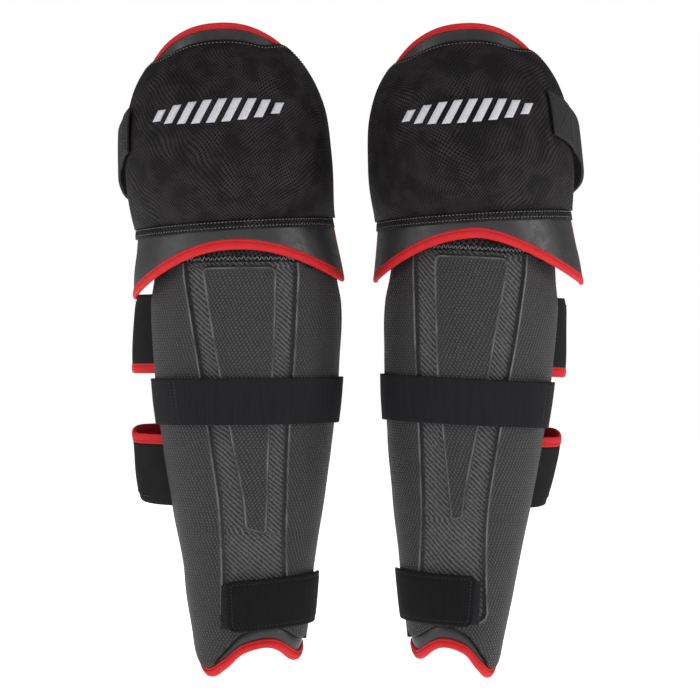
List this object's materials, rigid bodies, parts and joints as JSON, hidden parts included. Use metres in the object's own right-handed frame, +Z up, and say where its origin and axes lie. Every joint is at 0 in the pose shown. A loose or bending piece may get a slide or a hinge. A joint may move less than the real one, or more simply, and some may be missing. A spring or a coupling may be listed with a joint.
{
  "type": "knee and shin guards",
  "caption": "Pair of padded knee-and-shin guards for stick hockey: moulded shin shells, mesh knee domes with red trim, calf sleeves and elastic hook-and-loop straps.",
  "frame": {"origin": "middle of the pair's footprint, at the height of the lowest point of the ankle edges", "axes": "+Z up the legs, the fronts of the shins face -Y, and the left leg's guard is on the +X side"},
  "size_m": [0.3937, 0.175, 0.5429],
  "materials": {
    "moulded_shell": "matte",
    "foam": "matte",
    "lining_fabric": "matte",
    "black_binding": "matte",
    "red_binding": "matte",
    "smooth_panel": "satin",
    "mesh_fabric": "matte",
    "hard_plastic": "satin",
    "elastic": "matte",
    "neoprene": "matte",
    "badge": "satin"
  },
  "bodies": {
    "right_shin": {"right_shin_shell": "moulded_shell", "right_shin_foam": "foam", "right_shin_lining": "lining_fabric", "right_outer_edge_binding": "black_binding", "right_inner_edge_binding": "black_binding", "right_shin_top_band": "mesh_fabric", "right_ankle_panel": "smooth_panel", "right_ankle_binding": "red_binding", "right_outer_link_tab": "elastic", "right_inner_link_tab": "elastic", "right_calf_wrap": "neoprene", "right_notch_binding": "red_binding", "right_mid_strap": "elastic", "right_bottom_strap": "elastic", "right_bottom_loop_patch": "elastic"},
    "right_knee": {"right_knee_backing": "smooth_panel", "right_knee_binding": "red_binding", "right_knee_foam_liner": "foam", "right_knee_lining": "lining_fabric", "right_knee_cover": "mesh_fabric", "right_knee_cup": "hard_plastic", "right_knee_dome_foam": "foam", "right_knee_hem": "mesh_fabric", "right_knee_badge": "badge", "right_knee_strap_patch": "elastic", "right_knee_loop_tab": "elastic"},
    "right_mid_strap_tab": {"right_mid_strap_tab": "elastic"},
    "right_bottom_strap_tab": {"right_bottom_strap_tab": "elastic"},
    "right_knee_strap": {"right_knee_strap": "elastic"},
    "left_shin": {"left_shin_shell": "moulded_shell", "left_shin_foam": "foam", "left_shin_lining": "lining_fabric", "left_outer_edge_binding": "black_binding", "left_inner_edge_binding": "black_binding", "left_shin_top_band": "mesh_fabric", "left_ankle_panel": "smooth_panel", "left_ankle_binding": "red_binding", "left_outer_link_tab": "elastic", "left_inner_link_tab": "elastic", "left_calf_wrap": "neoprene", "left_notch_binding": "red_binding", "left_mid_strap": "elastic", "left_bottom_strap": "elastic", "left_bottom_loop_patch": "elastic"},
    "left_knee": {"left_knee_backing": "smooth_panel", "left_knee_binding": "red_binding", "left_knee_foam_liner": "foam", "left_knee_lining": "lining_fabric", "left_knee_cover": "mesh_fabric", "left_knee_cup": "hard_plastic", "left_knee_dome_foam": "foam", "left_knee_hem": "mesh_fabric", "left_knee_badge": "badge", "left_knee_strap_patch": "elastic", "left_knee_loop_tab": "elastic"},
    "left_mid_strap_tab": {"left_mid_strap_tab": "elastic"},
    "left_bottom_strap_tab": {"left_bottom_strap_tab": "elastic"},
    "left_knee_strap": {"left_knee_strap": "elastic"}
  },
  "joints": [
    {"name": "right_knee_hinge", "type": "hinge", "parent": "right_shin", "child": "right_knee", "pos_m": [-0.09631, 0.018, 0.34441], "axis": [-0.9968, 0.0523, -0.061], "range_deg": [0, 45]},
    {"name": "right_mid_strap_tab_hinge", "type": "hinge", "parent": "right_shin", "child": "right_mid_strap_tab", "pos_m": [-0.00908, 0.02043, 0.23132], "axis": [-0.0105, 0, 0.9999], "range_deg": [0, 35]},
    {"name": "right_bottom_strap_tab_hinge", "type": "hinge", "parent": "right_shin", "child": "right_bottom_strap_tab", "pos_m": [-0.02818, 0.01426, 0.06281], "axis": [-0.0105, 0, 0.9999], "range_deg": [0, 58]},
    {"name": "right_knee_strap_hinge", "type": "hinge", "parent": "right_knee", "child": "right_knee_strap", "pos_m": [-0.19096, -0.01735, 0.44592], "axis": [-0.061, 0.0026, 0.9981], "range_deg": [0, 75]},
    {"name": "left_knee_hinge", "type": "hinge", "parent": "left_shin", "child": "left_knee", "pos_m": [0.10595, 0.018, 0.34393], "axis": [-0.9973, 0.0451, -0.0576], "range_deg": [0, 45]},
    {"name": "left_mid_strap_tab_hinge", "type": "hinge", "parent": "left_shin", "child": "left_mid_strap_tab", "pos_m": [0.02552, 0.02037, 0.23386], "axis": [-0.0506, 0, -0.9987], "range_deg": [0, 35]},
    {"name": "left_bottom_strap_tab_hinge", "type": "hinge", "parent": "left_shin", "child": "left_bottom_strap_tab", "pos_m": [0.03768, 0.01033, 0.06883], "axis": [-0.0506, 0, -0.9987], "range_deg": [0, 58]},
    {"name": "left_knee_strap_hinge", "type": "hinge", "parent": "left_knee", "child": "left_knee_strap", "pos_m": [0.18363, -0.0255, 0.45579], "axis": [0.0574, -0.0049, -0.9983], "range_deg": [0, 75]},
    {"name": "left_guard_apart", "type": "slide", "parent": "right_shin", "child": "left_shin", "axis": [1, 0, 0], "range_m": [0, 0.12]}
  ]
}
